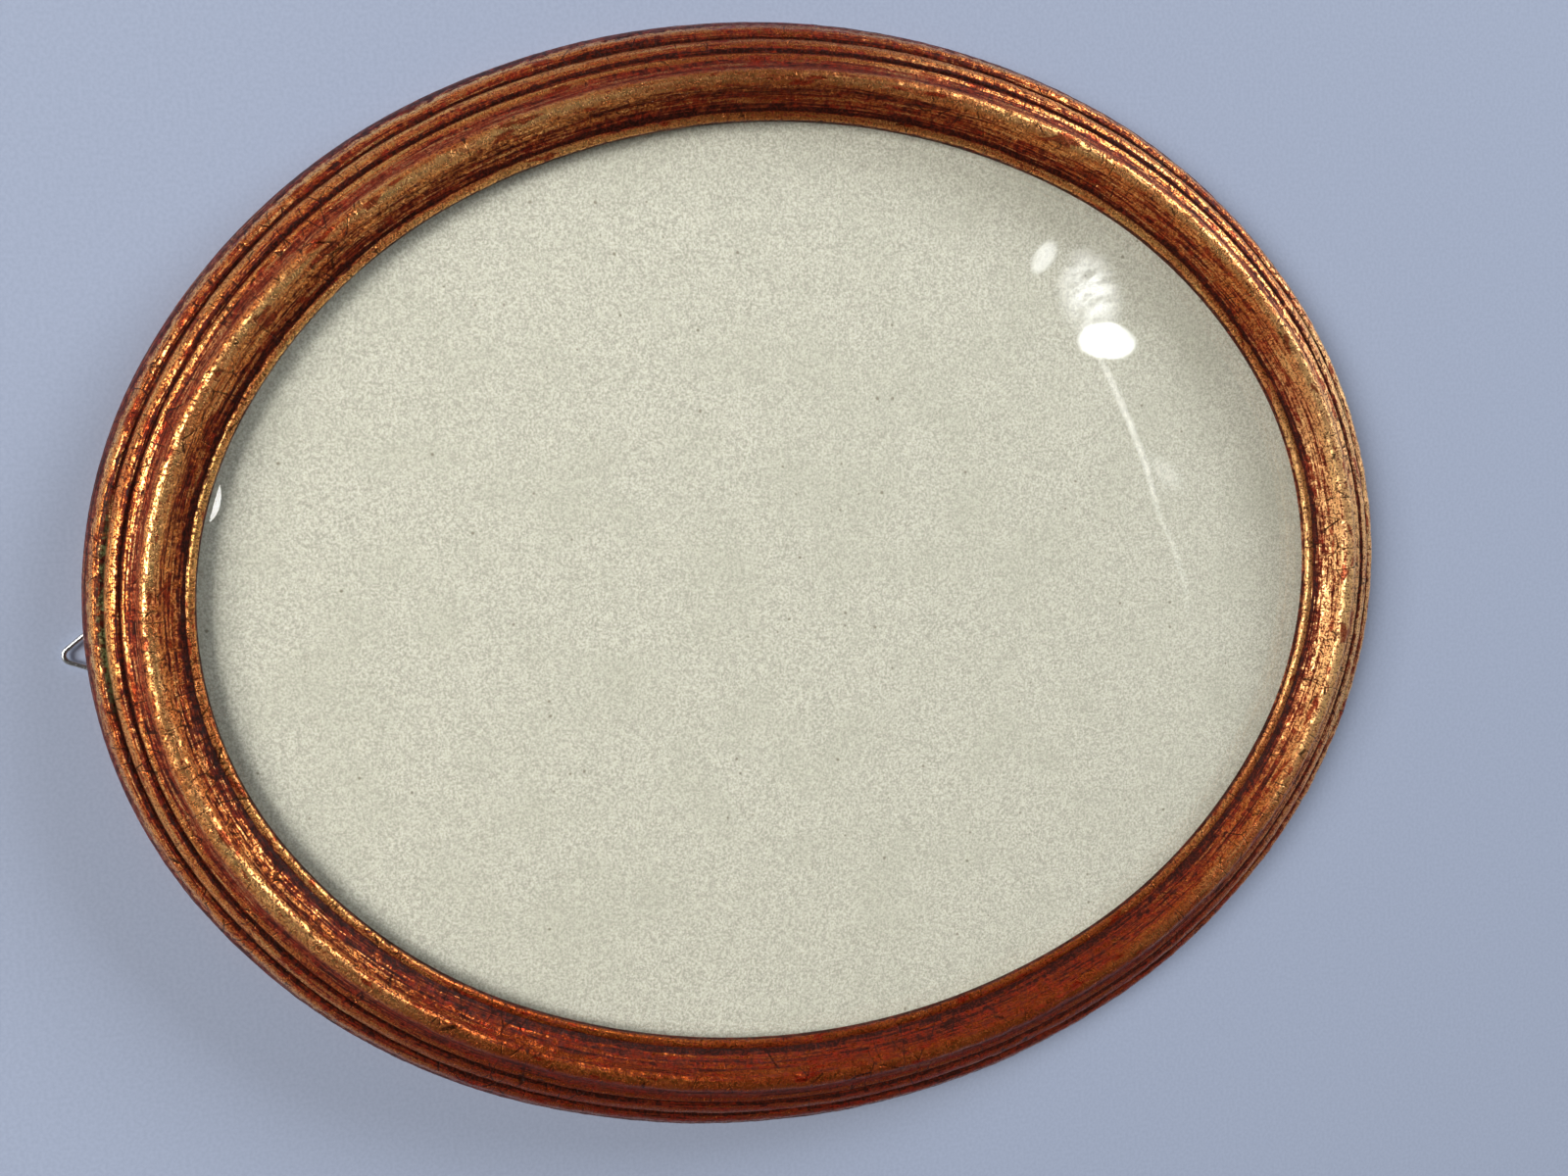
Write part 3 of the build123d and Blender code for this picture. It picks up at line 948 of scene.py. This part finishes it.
def greyboard():
    """Grey card behind the glass: fine pulp, stray fibres and dark specks."""
    material, tree, surface, here = new_material("greyboard")
    pulp = cloud(tree, here, 0.5 * MM, detail=3, rough=0.7)
    blotch = cloud(tree, here, 16 * MM, detail=4)
    card = glaze(tree, srgb(140, 136, 125), (192, 187, 174), pulp, 0.3, 0.7)
    card = glaze(tree, card, (158, 155, 141), blotch, 0.4, 0.75, 0.35)
    for shift, stretch in (((0, 0, 0), (0.12, 1, 1)), ((5, 3, 0), (1, 0.14, 1))):
        fibres = cloud(tree, here, 0.35 * MM, detail=1, stretch=stretch, shift=shift)
        card = glaze(tree, card, (136, 132, 117), fibres, 0.66, 0.74, 0.35)
    specks = use(tree, SPECKS, {"Place": here, "Spacing": 3.4 * MM, "Share": 0.35})["Mask"]
    fill(tree, surface, {
        "Base Color": mixed(tree, times(tree, specks, 0.7), card, srgb(96, 86, 70)),
        "Roughness": 0.92,
        "Normal": bump(tree, pulp, 0.35, 0.1 * MM),
    })
    return material


def hardboard():
    """Brown hardboard of the back panel, with its pressed fibres."""
    material, tree, surface, here = new_material("hardboard")
    fibres = cloud(tree, here, 1.1 * MM, detail=5, rough=0.7)
    blotch = cloud(tree, here, 25 * MM, detail=4)
    board = glaze(tree, srgb(96, 66, 44), (134, 98, 68), fibres, 0.35, 0.68)
    board = glaze(tree, board, (84, 60, 44), blotch, 0.42, 0.7, 0.5)
    specks = use(tree, SPECKS, {"Place": here, "Spacing": 2.6 * MM, "Share": 0.5})["Mask"]
    fill(tree, surface, {
        "Base Color": mixed(tree, times(tree, specks, 0.6), board, srgb(58, 40, 28)),
        "Roughness": spread(tree, fibres, 0.3, 0.7, 0.62, 0.85),
        "Normal": bump(tree, fibres, 0.5, 0.2 * MM),
    })
    return material


def metal(name, painted_lit_ends, tarnished, rubbed, roughness, spot):
    """Old metal fitting: tarnish in patches of a size, rubbed bright on its edges."""
    material, tree, surface, here = new_material(name)
    patches = cloud(tree, here, spot, detail=5, rough=0.65)
    scuffs = cloud(tree, here, 0.5 * MM, detail=3, rough=0.7)
    skin = glaze(tree, srgb(*painted_lit_ends), tarnished, patches, 0.42, 0.66)
    skin = glaze(tree, skin, tarnished, scuffs, 0.55, 0.75, 0.4)
    edge = use(tree, EDGE_WEAR, {"Place": here, "Reach": 0.3 * MM, "Patches": 3 * MM})["Mask"]
    fill(tree, surface, {
        "Base Color": mixed(tree, times(tree, edge, 0.7), skin, srgb(*rubbed)),
        "Metallic": 1.0,
        "Roughness": spread(tree, scuffs, 0.3, 0.75, *roughness),
        "Normal": bump(tree, scuffs, 0.3, 0.08 * MM),
    })
    return material


# Glass

def spun_round(name, profile, steps):
    """A closed profile of distance from the middle and height, turned all the way round."""
    piece = drawn_loop(name, [Vector((0, away, height)) for away, height in profile])
    edit_whole()
    bpy.ops.mesh.spin(steps=steps, angle=2 * math.pi, center=(0, 0, 0), axis=(0, 0, 1))
    bpy.ops.mesh.select_all(action="SELECT")
    bpy.ops.mesh.remove_doubles(threshold=1e-6)
    end_edit()
    return piece


def oval_block(name, inset, bottom, top):
    """Upright block with the oval's outline, moved inwards."""
    places = []
    for centre, radius, first, last in ARCS:
        count = max(2, round(math.radians(last - first) * radius / RIM_STEP))
        for step in range(count):
            angle = first + (last - first) * step / count
            places.append(centre + outward(angle) * (radius - inset) + Vector((0, 0, bottom)))
    return upright_block(name, places, top - bottom)


def domed_glass(finish):
    """Convex glass: a shallow dome drawn out to the oval, with a ground rim."""
    long_half = LONG_HALF - GLASS_INSET
    short_half = SHORT_HALF - GLASS_INSET
    radius = (long_half ** 2 + GLASS_RISE ** 2) / (2 * GLASS_RISE)
    reach = long_half + GLASS_SPARE
    upper = []
    for ring in range(GLASS_RINGS + 1):
        away = reach * ring / GLASS_RINGS
        upper.append((away, GLASS_TOP - radius + math.sqrt(radius ** 2 - away ** 2)))
    lower = [(away, height - GLASS_THICKNESS) for away, height in reversed(upper)]
    glass = spun_round("convex_glass", upper + lower, GLASS_STEPS)
    only(glass)
    edit_whole()
    bpy.ops.transform.resize(value=(short_half / long_half, 1, 1), center_override=(0, 0, 0))
    mode("OBJECT")
    combine(glass, "INTERSECT", oval_block("glass_blank", GLASS_INSET, CARD_FACE, GLASS_TOP + MM))
    glass.data.materials.append(finish)
    smooth_shading(glass, 30)
    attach(glass, "frame")
    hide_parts("domed_glass")


# Stage: floor, camera and light

def floor():
    """Plain pale floor under the frame: clear from below, and to the light of the lamps."""
    piece = plane("floor", FLOOR_SIZE)
    piece.location.z = FLOOR_HEIGHT
    material, tree, surface, here = new_material("pale_floor")
    fine = cloud(tree, here, 0.8 * MM, detail=4)
    paint = glaze(tree, srgb(158, 169, 194), (166, 177, 201), fine, 0.3, 0.7)
    fill(tree, surface, {"Base Color": paint, "Roughness": 0.85})
    behind = put(tree, "NewGeometry").outputs["Backfacing"]
    shadow = put(tree, "LightPath").outputs["Is Shadow Ray"]
    let_through(tree, surface, calc(tree, "MAXIMUM", behind, shadow))
    piece.data.materials.append(material)


# Camera as fitted to the photograph: focal length and sensor in millimetres, angles in degrees
FOCAL_LENGTH = 32.625
SENSOR_WIDTH = 36
CAMERA_PLACE = (0.032605, 0.079390, 0.314968)
CAMERA_ANGLES = (-5.0165, -14.0597, -93.0035)
NEAREST_SEEN = 10 * MM


def camera():
    """Camera over the frame, where the photograph was taken from."""
    lens = bpy.data.cameras.new("camera")
    lens.lens = FOCAL_LENGTH
    lens.sensor_width = SENSOR_WIDTH
    lens.clip_start = NEAREST_SEEN
    mount = bpy.data.objects.new("camera", lens)
    mount.location = CAMERA_PLACE
    mount.rotation_euler = [math.radians(angle) for angle in CAMERA_ANGLES]
    bpy.context.scene.collection.objects.link(mount)
    bpy.context.scene.camera = mount


DAYLIGHT = (1.0, 0.985, 0.95)
SKYLIGHT = (0.90, 0.95, 1.0)
WHITE = (1.0, 1.0, 1.0)
LAMPS = (
    # name, azimuth, elevation, distance, degrees wide and tall, brightness, colour, shape
    ("window", 80, 43, 2.2, (26, 24), 14.5, DAYLIGHT, "RECTANGLE"),
    ("fanlight", 78, 55, 2.2, (5.6, 3.8), 14, DAYLIGHT, "ELLIPSE"),
    ("low_window", -55, 24, 2.0, (36, 16), 13, SKYLIGHT, "RECTANGLE"),
    ("light_under_floor", 200, -74, 2.0, (44, 44), 6, WHITE, "RECTANGLE"),
)

# The walls of the room: their colour, and their brightness low and high up and level
WALL_COLOUR = (1.0, 0.94, 0.87, 1)
DIM_WALLS = 0.06
LEVEL_WALLS = 0.35

# Place on the glass where the far window is mirrored, and the way from there to the window
GLARE = Vector((52, -78, 12.7)) * MM
FAR_WINDOW = (-66, 45, 1.5)


def set_back(piece, aim, azimuth, elevation, distance):
    """Put a piece at a distance from its aim, and turn it there. Azimuth 0 is +X, 90 is +Y."""
    turn, lift = math.radians(azimuth), math.radians(elevation)
    level = math.cos(lift)
    way = Vector((level * math.cos(turn), level * math.sin(turn), math.sin(lift)))
    piece.location = aim + way * distance
    piece.rotation_euler = way.to_track_quat("Z", "Y").to_euler()


def lamp(name, azimuth, elevation, distance, degrees, brightness, colour, shape):
    """Soft lamp that looks at the frame, as wide and tall in degrees as seen from there."""
    width, height = (2 * distance * math.tan(math.radians(angle / 2)) for angle in degrees)
    light = bpy.data.lights.new(name, "AREA")
    light.shape = shape
    light.size = width
    light.size_y = height
    light.energy = brightness * math.pi * width * height
    light.color = colour
    holder = bpy.data.objects.new(name, light)
    set_back(holder, Vector((0, 0, 0)), azimuth, elevation, distance)
    bpy.context.scene.collection.objects.link(holder)


def light():
    """Light of the room, with pale walls.

    A window past the top of the picture has a fanlight over it, a low window is past its
    lower right, and a lamp under the floor is there for the back.
    """
    for row in LAMPS:
        lamp(*row)
    world = bpy.data.worlds.new("pale_room")
    world.use_nodes = True
    tree = world.node_tree
    height = parts_of(tree, put(tree, "TexCoord").outputs["Generated"])[2]
    walls = calc(tree, "SUBTRACT", 1.0, calc(tree, "ABSOLUTE", height))
    walls = times(tree, walls, walls)
    strength = calc(tree, "MULTIPLY_ADD", walls, LEVEL_WALLS, DIM_WALLS)
    fill(tree, tree.nodes["Background"], {"Color": WALL_COLOUR, "Strength": strength})
    bpy.context.scene.world = world
    bpy.context.scene.view_settings.view_transform = "Standard"


def blot(tree, place, centre, half, turn, soft):
    """Oval patch of light in millimetres: its middle, half its sizes, its turn and soft edge."""
    sockets = {"Vector": place, "Location": (centre[0] * MM, centre[1] * MM, 0),
               "Rotation": (0, 0, math.radians(turn)), "Scale": (half[0] * MM, half[1] * MM, 1)}
    laid = put(tree, "Mapping", sockets, vector_type="TEXTURE").outputs["Vector"]
    away = put(tree, "VectorMath", {0: laid}, operation="LENGTH").outputs["Value"]
    return spread(tree, away, 1 + soft, 1 - soft)


def far_window():
    """Curtained window across the room: it lights little, and the domed glass mirrors it."""
    piece = plane("far_window", 2)
    set_back(piece, GLARE, *FAR_WINDOW)
    material, tree, surface, here = new_material("curtained_window")
    folds = cloud(tree, here, 30 * MM, detail=4, stretch=(1.0, 0.4, 1))
    pane = blot(tree, here, (-27, 23), (72, 44), 63, 0.12)
    haze = blot(tree, here, (96, -6), (92, 62), 150, 0.6)
    corner = blot(tree, here, (232, 38), (50, 22), 118, 0.3)
    slit = blot(tree, here, (-250, 76), (190, 8), -4, 0.8)
    tail = blot(tree, here, (-590, 98), (200, 7), -2, 0.9)
    patch = blot(tree, here, (-405, 36), (50, 24), 20, 0.7)
    glow = total(tree, (
        (times(tree, pane, calc(tree, "MULTIPLY_ADD", folds, 16.0, 0.5)), 1),
        (times(tree, haze, spread(tree, folds, 0.34, 0.6, 0.25, 1.0)), 6.5),
        (corner, 4.5), (times(tree, slit, folds), 6.0), (tail, 0.9), (patch, 1.1)))
    shine = put(tree, "Emission", {"Color": (0.96, 0.98, 1.0, 1), "Strength": glow})
    clear = put(tree, "BsdfTransparent")
    both = put(tree, "AddShader", {0: shine.outputs[0], 1: clear.outputs[0]})
    fill(tree, tree.nodes["Material Output"], {"Surface": both.outputs[0]})
    tree.nodes.remove(surface)
    piece.data.materials.append(material)
    piece.visible_camera = False
    piece.visible_diffuse = False
    piece.visible_shadow = False


# What the solid model's own shapes wear: clean, tarnished and rubbed colour, roughness
# from and to, and size of the patches of tarnish
BRASS = ((196, 158, 92), (122, 92, 52), (226, 196, 132), (0.28, 0.5), 4 * MM)
STEEL = ((188, 190, 192), (128, 126, 122), (214, 216, 218), (0.24, 0.45), 5 * MM)
WIRE = ((214, 216, 218), (168, 168, 166), (232, 234, 236), (0.14, 0.3), 6 * MM)


def fittings():
    """Finishes of the parts whose solid shape is right as it is."""
    brass = metal("aged_brass", *BRASS)
    steel = metal("dull_steel", *STEEL)
    wire = metal("bright_wire", *WIRE)
    finishes = {"backing_card": greyboard(), "back_panel": hardboard(), "turn_button_screws": steel,
                "hanger_strap": steel, "hanger_screw": steel, "hanger_ring": wire}
    for quarter in ("upper_right", "upper_left", "lower_left", "lower_right"):
        finishes["turn_button_" + quarter] = brass
    for node, finish in finishes.items():
        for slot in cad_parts[node].material_slots:
            slot.material = finish


camera()
floor()
light()
far_window()
gilding = worn_gilding()
moulding((gilding, bare_wood("bare_wood_along", 90)), (gilding, bare_wood("bare_wood_across", 0)))
domed_glass(clear_glass())
fittings()
